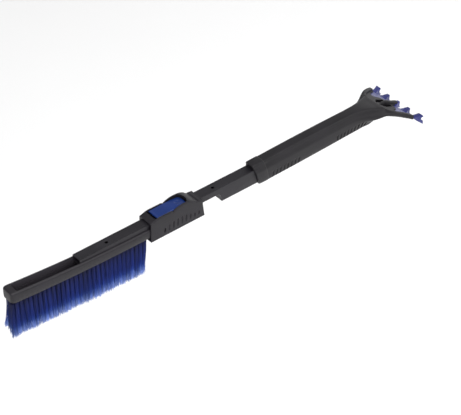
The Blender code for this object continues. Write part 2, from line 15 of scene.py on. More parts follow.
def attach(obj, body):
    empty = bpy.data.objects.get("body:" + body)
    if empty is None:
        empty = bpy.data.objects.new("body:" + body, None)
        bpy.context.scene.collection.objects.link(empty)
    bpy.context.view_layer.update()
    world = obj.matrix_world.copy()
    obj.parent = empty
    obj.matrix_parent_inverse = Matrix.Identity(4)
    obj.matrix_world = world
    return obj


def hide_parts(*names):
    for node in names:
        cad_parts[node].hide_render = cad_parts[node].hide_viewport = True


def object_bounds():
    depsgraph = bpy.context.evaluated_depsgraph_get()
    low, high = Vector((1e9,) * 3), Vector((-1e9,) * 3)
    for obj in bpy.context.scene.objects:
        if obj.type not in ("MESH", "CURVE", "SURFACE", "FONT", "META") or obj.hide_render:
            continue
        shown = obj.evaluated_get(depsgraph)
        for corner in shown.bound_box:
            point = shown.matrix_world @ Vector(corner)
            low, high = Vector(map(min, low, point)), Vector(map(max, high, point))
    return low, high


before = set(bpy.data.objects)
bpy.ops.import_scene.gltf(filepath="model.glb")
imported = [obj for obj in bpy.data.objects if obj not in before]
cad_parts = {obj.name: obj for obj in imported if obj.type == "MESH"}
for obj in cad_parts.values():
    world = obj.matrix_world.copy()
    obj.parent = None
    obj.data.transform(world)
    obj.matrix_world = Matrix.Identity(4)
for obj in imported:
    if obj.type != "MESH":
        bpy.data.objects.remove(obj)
CAD_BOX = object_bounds()

MM = 0.001

# height of the tube's centreline in the frame; heights below are measured from it
TUBE_AXIS_Z = 28.2

TUBE_HALF_W = 9.8
TUBE_HALF_H = 5.9
TUBE_START_X = -169.0
TUBE_END_X = 262.0
TUBE_WALL = 1.8
KEEL_START_X = 114.0
KEEL_BOTTOM_Z = -24.0
KEEL_CORNER_R = 9.0
TUBE_SCREW_X = (236.0, 250.0)
LOCK_HOLE_PITCH = 110.0
LOCK_HOLE_R = 3.0

BLOCK_HALF_W = 14.0
BLOCK_START_X = -300.0
BLOCK_END_X = -1.0
BLOCK_ROOT_Z = -20.7
BLOCK_HEIGHT = 17.2
BOW_START_X = -39.0
BOW_K = 1.62e-4
RIM_RISE_K = 5.9e-5
TROUGH_START_X = -288.0
TROUGH_HALF_W = 9.95
TROUGH_FLOOR_Z = -6.15
CHANNEL_START_X = -286.0
CHANNEL_END_X = -32.0
CHANNEL_HALF_W = 9.0

BRISTLE_START_X = -295.5
BRISTLE_END_X = -38.0
BRISTLE_LENGTH = 66.3
BRISTLE_ROW_Y = (-9.6, -3.2, 3.2, 9.6)
ROW_OFFSET_X = (-2.6, -1.6, 1.6, 2.6)
TUFTS_PER_ROW = 31
FILAMENTS_PER_TUFT = 56
# how far the tips of a row's last tufts lean along X, and how much longer those tufts are
FAR_END_LEAN = (0.8, 0.0, -3.0, -4.5)
FAR_END_EXTRA = (2.2, 1.0, -3.0, -4.0)
NEAR_END_LEAN = -7.5

HOUSING_HALF_W = 15.6
HOUSING_FRONT_X = -31.5
HOUSING_BOTTOM_Z = -28.2
HOUSING_SCREW_X = (-19.0, -9.0)
SIDE_GROOVE_X = -2.6
SIDE_GROOVE_PITCH = 8.9
SIDE_GROOVES = 9
SLOT_HALF_W = 12.5
SLOT_FRONT_X = -20.5
SLOT_REAR_X = 50.5
PIVOT_X = 25.0
PIVOT_Z = 9.9
LEVER_HALF_W = 12.0
LEVER_END_R = 8.7

RIDGE_X = 484.0
RIDGE_Z = 9.0
SLOPE = 0.43
SLOPE_ANGLE = math.atan(SLOPE)
ARM_END_X = 531.0
TOOTH_ROOT_X = 534.0
TOOTH_TIP_X = 551.0
TOOTH_PITCH = 26.0
TOOTH_RISE = 7.6
BLADE_HALF_W = 55.4
FLUTE_END_X = 480.0
FLUTE_FADE = 22.0
SPINE_START_X = 499.0
SPINE_END_X = 543.0
FINGER_GROOVE_PITCH = 8.4
# where a group of finger grooves starts, how many it has, and how low they reach
FINGER_GROOVES = ((232.7, 8, -29.0), (382.6, 9, -25.0))
PLATE_TOP = -1.0
PLATE_BOTTOM = -3.7
BLADE_T = 2.0
BLADE_GAP = 0.3
BLADE_SCREWS = ((530.0, 0.0), (519.0, -44.1), (519.0, 44.1))

BLACK = (0.0088, 0.0076, 0.0108)
# paler colour used both as a painted highlight on edges and for the scuffs, which are wear
BLACK_EDGE_HIGHLIGHT_AND_SCUFF = (0.032, 0.029, 0.034)


# ---------------------------------------------------------------- materials

def add_node(tree, kind, inputs=None, **attributes):
    made = tree.nodes.new(kind)
    for key, value in attributes.items():
        setattr(made, key, value)
    for key, value in (inputs or {}).items():
        made.inputs[key].default_value = value
    return made


def object_noise(tree, scale, detail=3.0, stretch=None):
    """Noise in the piece's own coordinates; `stretch` scales each axis."""
    coords = add_node(tree, "ShaderNodeTexCoord").outputs["Object"]
    if stretch is not None:
        mapping = add_node(tree, "ShaderNodeMapping", {"Scale": stretch})
        tree.links.new(coords, mapping.inputs["Vector"])
        coords = mapping.outputs["Vector"]
    noise = add_node(tree, "ShaderNodeTexNoise", {"Scale": scale, "Detail": detail})
    tree.links.new(coords, noise.inputs["Vector"])
    return noise.outputs["Fac"]


def remap(tree, value, low, high, to_low, to_high):
    node = add_node(
        tree, "ShaderNodeMapRange",
        {"From Min": low, "From Max": high, "To Min": to_low, "To Max": to_high},
    )
    tree.links.new(value, node.inputs["Value"])
    return node.outputs["Result"]


def math_node(tree, operation, a, b):
    node = add_node(tree, "ShaderNodeMath", operation=operation)
    for slot, value in enumerate((a, b)):
        if isinstance(value, float):
            node.inputs[slot].default_value = value
        else:
            tree.links.new(value, node.inputs[slot])
    return node.outputs[0]


def mix_colour(tree, factor, a, b):
    node = add_node(tree, "ShaderNodeMix", data_type="RGBA")
    sockets = (node.inputs[0], node.inputs[6], node.inputs[7])
    for socket, value in zip(sockets, (factor, a, b)):
        if isinstance(value, (tuple, float)):
            socket.default_value = value
        else:
            tree.links.new(value, socket)
    return node.outputs[2]


def new_material(name):
    mat = bpy.data.materials.new(name)
    mat.use_nodes = True
    return mat, mat.node_tree, mat.node_tree.nodes["Principled BSDF"]


def moulded_plastic(name, colour, edge_highlight_and_scuff_colour, roughness, grain=1.0, scuff=0.5, shine=0.3):
    """Moulded plastic: fine grain, patchy sheen, faint lengthwise scuffs, and edges painted paler as
    a painted highlight.
    """
    mat, tree, shader = new_material(name)
    link = tree.links.new
    fine = object_noise(tree, 1500.0, 2.0)
    patch = object_noise(tree, 24.0, 5.0)
    scuffs = object_noise(tree, 1.0, 3.0, (16.0, 420.0, 420.0))
    scuff_mask = remap(tree, scuffs, 0.60, 0.74, 0.0, scuff)
    rounded = add_node(tree, "ShaderNodeBevel", {"Radius": 0.5 * MM}, samples=6)
    flat = add_node(tree, "ShaderNodeNewGeometry").outputs["Normal"]
    same = add_node(tree, "ShaderNodeVectorMath", operation="DOT_PRODUCT")
    link(rounded.outputs["Normal"], same.inputs[0])
    link(flat, same.inputs[1])
    # painted highlight: where the rounded normal turns away from the flat one, the colour is mixed
    # towards the paler edge colour, standing in for light caught on edges
    edge = remap(tree, same.outputs["Value"], 0.99, 0.80, 0.0, 0.75)
    edge = math_node(tree, "MULTIPLY", edge, remap(tree, patch, 0.35, 0.65, 0.5, 1.0))
    dark = (*[c * 0.82 for c in colour], 1.0)
    light = (*[min(1.0, c * 1.20) for c in colour], 1.0)
    base = mix_colour(tree, remap(tree, patch, 0.35, 0.65, 0.0, 1.0), dark, light)
    base = mix_colour(tree, edge, base, (*edge_highlight_and_scuff_colour, 1.0))
    base = mix_colour(tree, math_node(tree, "MULTIPLY", scuff_mask, 0.35), base, (*edge_highlight_and_scuff_colour, 1.0))
    link(base, shader.inputs["Base Color"])
    rough = remap(tree, patch, 0.3, 0.7, roughness - 0.06, roughness + 0.06)
    link(math_node(tree, "ADD", rough, math_node(tree, "MULTIPLY", scuff_mask, 0.10)),
         shader.inputs["Roughness"])
    shader.inputs["Specular IOR Level"].default_value = shine
    bump = add_node(tree, "ShaderNodeBump", {"Strength": 0.32 * grain, "Distance": 0.12 * MM})
    link(math_node(tree, "ADD", fine, math_node(tree, "MULTIPLY", scuffs, 0.25)),
         bump.inputs["Height"])
    link(rounded.outputs["Normal"], bump.inputs["Normal"])
    link(bump.outputs["Normal"], shader.inputs["Normal"])
    return mat


def block_material():
    """Block plastic with painted light: the faces that look up and the trough's far wall are painted
    paler than the rest.
    """
    mat = moulded_plastic("black_block", BLACK, BLACK_EDGE_HIGHLIGHT_AND_SCUFF, 0.46, shine=0.29)
    tree = mat.node_tree
    base = tree.nodes["Principled BSDF"].inputs["Base Color"]
    plain = base.links[0].from_socket
    coords = add_node(tree, "ShaderNodeTexCoord")
    place = add_node(tree, "ShaderNodeSeparateXYZ")
    facing = add_node(tree, "ShaderNodeSeparateXYZ")
    tree.links.new(coords.outputs["Object"], place.inputs["Vector"])
    tree.links.new(coords.outputs["Normal"], facing.inputs["Vector"])
    # painted light: up-facing faces outside the trough, and the trough's far wall facing -Y, are
    # mixed towards paler greys that stand in for the light they catch
    off_centre = math_node(tree, "ABSOLUTE", place.outputs["Y"], 0.0)
    upward = math_node(
        tree, "MULTIPLY",
        remap(tree, facing.outputs["Z"], 0.5, 0.9, 0.0, 1.0),
        remap(tree, off_centre, 10.0 * MM, 10.1 * MM, 0.0, 1.0),
    )
    inside = math_node(
        tree, "MULTIPLY",
        remap(tree, place.outputs["Y"], 8.7 * MM, 8.9 * MM, 0.0, 1.0),
        remap(tree, place.outputs["Y"], 10.0 * MM, 10.1 * MM, 1.0, 0.0),
    )
    inward = remap(tree, facing.outputs["Y"], -0.5, -0.9, 0.0, 1.0)
    wall = math_node(tree, "MULTIPLY", inside, inward)
    painted_light_on_tops = mix_colour(tree, upward, plain, (0.021, 0.019, 0.023, 1.0))
    tree.links.new(mix_colour(tree, wall, painted_light_on_tops, (0.036, 0.033, 0.040, 1.0)), base)
    return mat


def steel_material():
    """Zinc plated steel with turning marks and slight dulling."""
    mat, tree, shader = new_material("steel")
    link = tree.links.new
    patch = object_noise(tree, 300.0, 4.0)
    marks = object_noise(tree, 1.0, 2.0, (2500.0, 2500.0, 300.0))
    base = mix_colour(tree, patch, (0.50, 0.51, 0.53, 1.0), (0.68, 0.69, 0.71, 1.0))
    link(base, shader.inputs["Base Color"])
    shader.inputs["Metallic"].default_value = 1.0
    link(remap(tree, marks, 0.3, 0.7, 0.24, 0.42), shader.inputs["Roughness"])
    bump = add_node(tree, "ShaderNodeBump", {"Strength": 0.25, "Distance": 0.04 * MM})
    link(marks, bump.inputs["Height"])
    link(bump.outputs["Normal"], shader.inputs["Normal"])
    return mat


def bristle_material():
    """Nylon filaments: deep navy roots that pale towards frosted, split tips."""
    mat, tree, shader = new_material("bristle_nylon")
    link = tree.links.new
    along = add_node(tree, "ShaderNodeAttribute", attribute_name="along").outputs["Fac"]
    tone_and_painted_shade = add_node(tree, "ShaderNodeAttribute", attribute_name="tone_and_painted_shade").outputs["Fac"]
    ramp = add_node(tree, "ShaderNodeValToRGB")
    stops = (
        (0.00, (0.002, 0.004, 0.030)), (0.18, (0.003, 0.008, 0.070)),
        (0.55, (0.004, 0.014, 0.115)), (0.72, (0.010, 0.030, 0.180)),
        (0.84, (0.055, 0.095, 0.300)), (1.00, (0.160, 0.215, 0.430)),
    )
    elements = ramp.color_ramp.elements
    while len(elements) < len(stops):
        elements.new(0.5)
    for element, (place, colour) in zip(elements, stops):
        element.position = place
        element.color = (*colour, 1.0)
    speckle = object_noise(tree, 700.0, 2.0)
    shifted = math_node(tree, "ADD", along, remap(tree, speckle, 0.3, 0.7, -0.05, 0.05))
    link(shifted, ramp.inputs["Fac"])
    value = add_node(tree, "ShaderNodeHueSaturation")
    link(ramp.outputs["Color"], value.inputs["Color"])
    # the per-filament attribute carries the tufts' random tone plus painted shade towards each
    # tuft's edge
    link(remap(tree, tone_and_painted_shade, 0.0, 1.0, 0.25, 2.10), value.inputs["Value"])
    link(value.outputs["Color"], shader.inputs["Base Color"])
    link(remap(tree, along, 0.0, 1.0, 0.40, 0.65), shader.inputs["Roughness"])
    shader.inputs["Specular IOR Level"].default_value = 0.18
    bump = add_node(tree, "ShaderNodeBump", {"Strength": 0.2, "Distance": 0.05 * MM})
    link(speckle, bump.inputs["Height"])
    link(bump.outputs["Normal"], shader.inputs["Normal"])
    return mat


def floor_material():
    mat, tree, shader = new_material("pale_floor")
    soft = object_noise(tree, 3.0, 2.0)
    base = mix_colour(tree, soft, (0.93, 0.93, 0.93, 1.0), (0.95, 0.95, 0.95, 1.0))
    tree.links.new(base, shader.inputs["Base Color"])
    shader.inputs["Roughness"].default_value = 0.9
    shader.inputs["Specular IOR Level"].default_value = 0.1
    return mat


# ---------------------------------------------------------------- shapes

def prism(points, axis, low, high):
    """Closed prism over an outline; axis is the direction it is extruded along."""
    bm = bmesh.new()
    lift = {
        "y": lambda p, t: (p[0], t, p[1]),
        "z": lambda p, t: (p[0], p[1], t),
        "x": lambda p, t: (t, p[0], p[1]),
    }[axis]
    face = bm.faces.new([bm.verts.new(lift(p, low)) for p in points])
    top = bmesh.ops.extrude_face_region(bm, geom=[face])["geom"]
    moved = [g for g in top if isinstance(g, bmesh.types.BMVert)]
    step = Vector(lift((0.0, 0.0), high)) - Vector(lift((0.0, 0.0), low))
    bmesh.ops.translate(bm, verts=moved, vec=step)
    bmesh.ops.recalc_face_normals(bm, faces=bm.faces)
    return bm


def block(x0, x1, y0, y1, z0, z1):
    return prism([(x0, z0), (x1, z0), (x1, z1), (x0, z1)], "y", y0, y1)


def loft(rings):
    """Closed body through rings that all have the same number of points."""
    bm = bmesh.new()
    rows = [[bm.verts.new(p) for p in ring] for ring in rings]
    count = len(rows[0])
    for near, far in zip(rows, rows[1:]):
        for i in range(count):
            j = (i + 1) % count
            bm.faces.new((near[i], near[j], far[j], far[i]))
    bm.faces.new(rows[0])
    bm.faces.new(list(reversed(rows[-1])))
    bmesh.ops.recalc_face_normals(bm, faces=bm.faces)
    return bm


def turned(profile, centre, axis, segments=32):
    """Solid of revolution: profile is (distance along the axis, radius) pairs."""
    direction = Vector(axis).normalized()
    side = direction.orthogonal().normalized()
    up = direction.cross(side)
    rings = []
    for along, radius in profile:
        ring = []
        for i in range(segments):
            a = 2.0 * math.pi * i / segments
            point = Vector(centre) + direction * along
            ring.append(point + (side * math.cos(a) + up * math.sin(a)) * radius)
        rings.append(ring)
    return loft(rings)


def bevel_where(bm, radius, segments, test):
    """Round every edge whose two end points satisfy `test`."""
    edges = [e for e in bm.edges if test(e.verts[0].co, e.verts[1].co)]
    bmesh.ops.bevel(
        bm, geom=edges, offset=radius, segments=segments, profile=0.5,
        affect="EDGES", clamp_overlap=True,
    )
    return bm


def hermite(values, t, key):
    """Smooth interpolation of rows of numbers; `key` is the column that holds the position."""
    place = max(i for i in range(len(values) - 1) if values[i][key] <= t + 1e-9)
    a, b = values[place], values[place + 1]
    before = values[max(place - 1, 0)]
    after = values[min(place + 2, len(values) - 1)]
    h = b[key] - a[key]
    s = (t - a[key]) / h
    out = []
    for i in range(len(a)):
        slope_a = (b[i] - before[i]) / (b[key] - before[key])
        slope_b = (after[i] - a[i]) / (after[key] - a[key])
        out.append(
            a[i] * (1 + 2 * s) * (1 - s) ** 2 + h * slope_a * s * (1 - s) ** 2
            + b[i] * s * s * (3 - 2 * s) - h * slope_b * s * s * (1 - s)
        )
    out[key] = t
    return out


def spaced(low, high, count):
    return [low + (high - low) * i / (count - 1) for i in range(count)]


def bow(x):
    """The brush block curves up gently towards its far end."""
    return BOW_K * (x - BOW_START_X) ** 2 if x < BOW_START_X else 0.0


def block_top(x):
    """Height of the block's rims, which rise a little faster than its root face."""
    rise = RIM_RISE_K * (x - BOW_START_X) ** 2 if x < BOW_START_X else 0.0
    return BLOCK_ROOT_Z + BLOCK_HEIGHT + bow(x) + rise


def mesh_object(name, bm):
    """Turn a millimetre bmesh into an object in metres."""
    bmesh.ops.translate(bm, verts=bm.verts, vec=(0.0, 0.0, TUBE_AXIS_Z))
    bmesh.ops.scale(bm, verts=bm.verts, vec=(MM, MM, MM))
    bmesh.ops.recalc_face_normals(bm, faces=bm.faces)
    mesh = bpy.data.meshes.new(name)
    bm.to_mesh(mesh)
    bm.free()
    obj = bpy.data.objects.new(name, mesh)
    bpy.context.scene.collection.objects.link(obj)
    return obj


def carve(obj, steps):
    """Run exact Booleans in order and keep only the result."""
    tools = []
    for kind, bm in steps:
        tool = mesh_object("tool", bm)
        tools.append(tool)
        mod = obj.modifiers.new("cut", "BOOLEAN")
        mod.operation = kind
        mod.solver = "EXACT"
        mod.object = tool
    bpy.context.view_layer.update()
    graph = bpy.context.evaluated_depsgraph_get()
    result = bpy.data.meshes.new_from_object(obj.evaluated_get(graph))
    obj.modifiers.clear()
    obj.data = result
    for tool in tools:
        bpy.data.objects.remove(tool, do_unlink=True)
    return obj


def finish_piece(obj, mat, body, replaced, angle=32.0):
    """Shade the piece, give it its material, and hang it on its CAD body."""
    obj.data.materials.clear()
    obj.data.materials.append(mat)
    obj.data.shade_smooth()
    obj.data.set_sharp_from_angle(angle=math.radians(angle))
    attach(obj, body)
    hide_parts(*replaced)
    return obj


# ---------------------------------------------------------------- handle

def build_tube(mat):
    """Box tube with a deep keel near the grip, creased edges and chamfered lock holes."""
    notch = [(KEEL_START_X, -TUBE_HALF_H)]
    for step in range(1, 13):
        a = math.radians(90.0 * step / 12)
        rise = (KEEL_BOTTOM_Z + TUBE_HALF_H) * (1.0 - math.cos(a))
        notch.append((KEEL_START_X + KEEL_CORNER_R * math.sin(a), -TUBE_HALF_H + rise))
    outline = [
        (TUBE_START_X, TUBE_HALF_H), (TUBE_START_X, -TUBE_HALF_H), *notch,
        (TUBE_END_X, KEEL_BOTTOM_Z), (TUBE_END_X, TUBE_HALF_H),
    ]
    bm = prism(outline, "y", -TUBE_HALF_W, TUBE_HALF_W)
    bevel_where(
        bm, 1.8, 6,
        lambda a, b: abs(a.y - b.y) < 0.01 and abs(a.z - b.z) < 0.01 and abs(a.x - b.x) > 20.0,
    )
    tube = mesh_object("tube_visual", bm)
    inner_w = TUBE_HALF_W - TUBE_WALL
    inner_h = TUBE_HALF_H - TUBE_WALL
    cut = "DIFFERENCE"
    steps = [
        (cut, block(TUBE_START_X - 5, TUBE_END_X + 5, -inner_w, inner_w, -inner_h, inner_h)),
        (cut, block(
            KEEL_START_X + KEEL_CORNER_R, TUBE_END_X + 5, -inner_w, inner_w,
            KEEL_BOTTOM_Z + TUBE_WALL, 0.0,
        )),
    ]
    for x in (-LOCK_HOLE_PITCH, 0.0, LOCK_HOLE_PITCH):
        r = LOCK_HOLE_R
        profile = [(0.0, r), (5.4, r), (6.0, r + 0.6), (9.0, r + 0.6)]
        steps.append((cut, turned(profile, (x, 0, 0), (0, 0, 1))))
    for x in TUBE_SCREW_X:
        steps.append((cut, turned([(-30.0, 1.9), (-15.0, 1.9)], (x, 0, 0), (0, 0, 1), 16)))
    for side in (-1.0, 1.0):
        y0, y1 = sorted((side * 7.30, side * 8.05))
        steps.append((cut, block(TUBE_START_X + 3.0, TUBE_END_X + 1.0, y0, y1, 5.3, 8.0)))
    carve(tube, steps)
    return finish_piece(tube, mat, "handle", ["slide_tube"])


GRIP_SECTION = (
    (0.00, 1.000), (0.48, 0.995), (0.64, 0.970), (0.71, 0.915), (0.76, 0.840), (0.85, 0.770),
    (0.95, 0.710), (1.00, 0.630), (1.00, 0.480), (0.985, 0.300), (0.94, 0.160),
    (0.84, 0.060), (0.66, 0.010), (0.40, 0.000), (0.00, 0.000),
)


def fine_section():
    """The grip's half section with three times the points, smoothed."""
    rows = [(float(i), u, v) for i, (u, v) in enumerate(GRIP_SECTION)]
    fine = [hermite(rows, i / 3.0, 0) for i in range(3 * (len(rows) - 1))]
    fine.append(rows[-1])
    return [(min(u, 1.0), min(max(v, 0.0), 1.0)) for _, u, v in fine]


def grip_ring(section, x, half_w, z_top, z_bottom, lean, belly):
    """Grip section: flat top, a hollow flute along each shoulder, rounded belly."""
    h = z_top - z_bottom
    filled = min(0.9, max(0.0, (x - FLUTE_END_X) / FLUTE_FADE))
    right = []
    for u, v in section:
        if 0.6 < v < 0.97:
            v += filled * (0.97 - v)
        blend = min(1.0, max(0.0, (v - 0.16) / 0.40))
        width = belly + (half_w - belly) * blend * blend * (3.0 - 2.0 * blend)
        right.append((x + lean * (1 - v), width * u, z_bottom + h * v))
    left = [(px, -py, pz) for px, py, pz in reversed(right[1:-1])]
    return right + left


def frame_slope(x):
    """Height of the sloping plane that runs from the ridge to the teeth."""
    return RIDGE_Z - (x - RIDGE_X) * SLOPE


def sloped_pocket(outline, above, below):
    """Prism whose two faces follow the frame's slope, over an outline in plan."""
    lower = [(x, y, frame_slope(x) + below) for x, y in outline]
    upper = [(x, y, frame_slope(x) + above) for x, y in outline]
    return loft([lower, upper])


def mirrored(half):
    """Outline in plan from its half on one side of the XZ plane."""
    return half + [(x, -y) for x, y in reversed(half)]


def slope_axis(x, y):
    """A point on the frame's slope and the slope's normal."""
    return (x, y, frame_slope(x)), (math.sin(SLOPE_ANGLE), 0.0, math.cos(SLOPE_ANGLE))


def grip_stations():
    """Rings of the grip: the stepped collar as it is, the rest smoothly interpolated."""
    collar = [
        (190.0, 13.7, 14.9, -28.1, 15.0, 13.7), (190.4, 14.3, 15.5, -28.8, 15.0, 14.3),
        (191.2, 14.8, 15.9, -29.2, 15.0, 14.8), (203.0, 15.0, 16.2, -29.4, 13.5, 15.0),
        (213.3, 15.0, 16.4, -29.5, 11.0, 15.0), (214.4, 14.8, 16.2, -29.5, 10.7, 14.8),
    ]
    body = [
        (215.2, 14.4, 15.7, -29.4, 10.5, 14.4), (229.0, 14.4, 16.1, -29.2, 3.0, 14.4),
        (262.0, 14.4, 17.1, -28.7, 0.0, 14.4), (300.0, 14.5, 18.0, -27.9, 0.0, 14.5),
        (345.0, 14.5, 18.6, -26.6, 0.0, 14.5), (385.0, 14.6, 18.8, -25.2, 0.0, 14.6),
        (415.0, 14.9, 18.6, -24.4, 0.0, 14.2), (435.0, 16.6, 18.0, -24.2, 0.0, 13.8),
        (450.0, 20.2, 16.8, -24.0, 0.0, 13.2), (463.0, 25.2, 14.8, -24.6, 0.0, 13.6),
        (471.0, 28.8, 13.2, -22.0, 0.0, 14.6), (477.0, 31.6, 11.9, -17.2, 0.0, 16.6),
        (484.0, 35.0, 10.6, -12.0, 0.0, 23.0), (493.0, 40.0, 7.6, -10.0, 0.0, 32.0),
        (503.0, 45.0, 4.4, -10.6, 0.0, 41.0), (514.0, 49.5, 0.4, -12.9, 0.0, 49.5),
        (524.0, 53.5, -4.2, -17.8, 0.0, 53.5), (533.0, 56.6, -9.2, -22.0, 0.0, 56.6),
        (540.0, 58.0, -13.4, -25.0, 0.0, 58.0),
    ]
    places = spaced(215.2, 415.0, 21)[:-1] + spaced(415.0, 540.0, 43)
    return collar + [hermite(body, x, 0) for x in places]


def tooth_top(x):
    """Height of the blade's upper face; it rises towards the tips of the teeth."""
    tip = max(0.0, (x - TOOTH_ROOT_X) / (TOOTH_TIP_X - TOOTH_ROOT_X))
    return frame_slope(x) + PLATE_BOTTOM - BLADE_GAP + TOOTH_RISE * tip


def spine_rings():
    """Raised spine between the sockets; it rises out of the plate and ends over a tooth."""
    shape = [
        (SPINE_START_X, 0.9, 0.3), (506.0, 1.9, 3.0), (516.0, 2.8, 6.0), (528.0, 3.2, 4.6),
        (SPINE_END_X, 3.3, 4.6),
    ]
    rings = []
    for x in spaced(SPINE_START_X, SPINE_END_X, 15):
        _, half, rise = hermite(shape, x, 0)
        low = frame_slope(x) + PLATE_TOP - 0.6
        top = frame_slope(x) + PLATE_TOP + rise
        edge = [
            (half + 0.9, low), (half + 0.75, top - 0.55 * rise), (half + 0.45, top - 0.22 * rise),
            (half * 0.8, top - 0.06 * rise), (half * 0.45, top),
        ]
        ring = [(x, y, z) for y, z in edge]
        rings.append(ring + [(px, -py, pz) for px, py, pz in reversed(ring)])
    return rings


def bead(points, radius, lift):
    """Rounded bead along a path in plan, standing a little proud of the frame's upper face."""
    rings = []
    for i, (x, y) in enumerate(points):
        ahead = points[min(i + 1, len(points) - 1)]
        behind = points[max(i - 1, 0)]
        along = Vector((ahead[0] - behind[0], ahead[1] - behind[1], 0.0)).normalized()
        side = Vector((-along.y, along.x, 0.0))
        thin = 0.35 if i in (0, len(points) - 1) else 1.0
        centre = Vector((x, y, lift(x)))
        ring = []
        for k in range(12):
            a = 2.0 * math.pi * k / 12
            offset = side * math.cos(a) + Vector((0.0, 0.0, 1.0)) * math.sin(a)
            ring.append(centre + offset * radius * thin)
        rings.append(ring)
    return loft(rings)


def rim_path():
    """Plan of the rim: from one arm's tip round the ridge to the other arm's tip."""
    half = [(529.0, 50.6), (522.0, 48.0), (512.0, 43.6), (503.0, 38.8), (495.0, 33.6)]
    half += [(489.5, 28.6), (486.4, 22.0), (485.2, 12.0)]
    rows = [(float(i), x, y) for i, (x, y) in enumerate(mirrored(half))]
    smooth = [tuple(hermite(rows, i / 3.0, 0)[1:]) for i in range(3 * (len(rows) - 1))]
    return smooth + [rows[-1][1:]]


def scoop_steps():
    """Sunken plate, two windows, two deep sockets beside a centre spine, and screw holes."""
    cut = "DIFFERENCE"
    box = [(490.5, -16.5), (522.0, -16.5)]
    steps = [("UNION", sloped_pocket(mirrored(box), -0.5, -14.0))]
    sunken = [(486.5, -27.0), (500.0, -36.0), (514.0, -43.0), (526.0, -48.0), (550.0, -54.0)]
    steps.append((cut, sloped_pocket(mirrored(sunken), 30.0, PLATE_TOP)))
    belly = [(505.0, -25.0), (503.5, -36.0), (509.0, -43.6), (523.0, -51.6), (533.0, -54.6)]
    belly += [(551.0, -57.3)]
    belly = mirrored(belly) + [(505.0, 18.5), (523.0, 16.9), (523.0, -16.9), (505.0, -18.5)]
    steps.append((cut, sloped_pocket(belly, PLATE_BOTTOM, -40.0)))
    for side in (-1.0, 1.0):
        low, high = sorted((side * 9.0, side * 70.0))
        steps.append((cut, block(ARM_END_X, 560.0, low, high, -60.0, 12.0)))
        bay = [(526.0, 6.6), (524.0, 9.0), (522.5, 16.0), (519.5, 22.0), (511.5, 25.0)]
        bay += [(510.0, 31.0), (513.0, 38.0), (519.0, 41.8), (525.0, 44.6), (534.0, 48.5)]
        bay += [(549.0, 51.0), (549.0, 6.2), (536.0, 6.2)]
        steps.append((cut, sloped_pocket([(x, side * y) for x, y in bay], 40.0, -41.0)))
        socket = [(493.5, 4.0), (512.0, 3.0), (519.0, 5.0), (519.5, 13.0), (503.0, 14.3)]
        steps.append((cut, sloped_pocket([(x, side * y) for x, y in socket], 20.0, -12.5)))
    steps.append((cut, block(TOOTH_ROOT_X - 0.4, 560.0, -10.0, 10.0, -60.0, 10.0)))
    steps.append(("UNION", loft(spine_rings())))
    steps.append(("UNION", bead(rim_path(), 1.3, lambda x: frame_slope(x) + 0.5)))
    under = mirrored([(TOOTH_ROOT_X - 0.3, -9.5), (548.0, -9.5)])
    lower = [(x, y, -60.0) for x, y in under]
    upper = [(x, y, tooth_top(x) + 0.35) for x, y in under]
    steps.append((cut, loft([lower, upper])))
    for x, y in BLADE_SCREWS:
        point, normal = slope_axis(x, y)
        steps.append((cut, turned([(-20.0, 1.3), (-1.9, 1.3)], point, normal, 16)))
    return steps


def finger_groove(x, low, side):
    """One rounded finger groove that fades out at both ends, low on the grip's side."""
    rings = []
    shape = ((0.01, 0.1), (0.05, 1.6), (0.12, 2.3), (0.26, 2.3), (0.34, 1.4), (0.41, 0.05))
    for v, depth in shape:
        surface = 14.45 * (0.84 + 0.15 * min(1.0, v / 0.25)) - 0.06 * max(0.0, x - 425.0)
        z = low + 44.0 * v
        ring = []
        for k in range(9):
            a = math.pi * k / 8
            y = surface + 0.6 - (0.6 + depth) * math.sin(a)
            ring.append((x - 2.0 * math.cos(a), side * y, z))
        rings.append(ring + [(x + 2.0, side * 18.0, z), (x - 2.0, side * 18.0, z)])
    return loft(rings)


def finger_groove_steps():
    """Two groups of finger grooves on both sides."""
    steps = []
    for start, count, z_bottom in FINGER_GROOVES:
        for index in range(count):
            x = start + FINGER_GROOVE_PITCH * index + 1.7
            for side in (-1.0, 1.0):
                groove = finger_groove(x, z_bottom + 0.015 * (x - start), side)
                steps.append(("DIFFERENCE", groove))
    return steps


def build_grip(mat):
    """Grip that flares into the scraper frame; one moulding."""
    section = fine_section()
    rings = [grip_ring(section, *station) for station in grip_stations()]
    body = loft(rings)
    bmesh.ops.triangulate(body, faces=body.faces)
    grip = mesh_object("grip_visual", body)
    bore_w = TUBE_HALF_W + 0.4
    cut = "DIFFERENCE"
    bore = block(150.0, TUBE_END_X + 1.0, -bore_w, bore_w, KEEL_BOTTOM_Z - 0.4, 6.4)
    steps = [(cut, bore)] + scoop_steps() + finger_groove_steps()
    for x in TUBE_SCREW_X:
        profile = [(-36.0, 3.0), (-26.6, 3.0), (-26.6, 1.4), (-22.6, 1.4)]
        steps.append((cut, turned(profile, (x, 0, 0), (0, 0, 1), 24)))
    carve(grip, steps)
    return finish_piece(grip, mat, "handle", ["grip_frame"], 30.0)


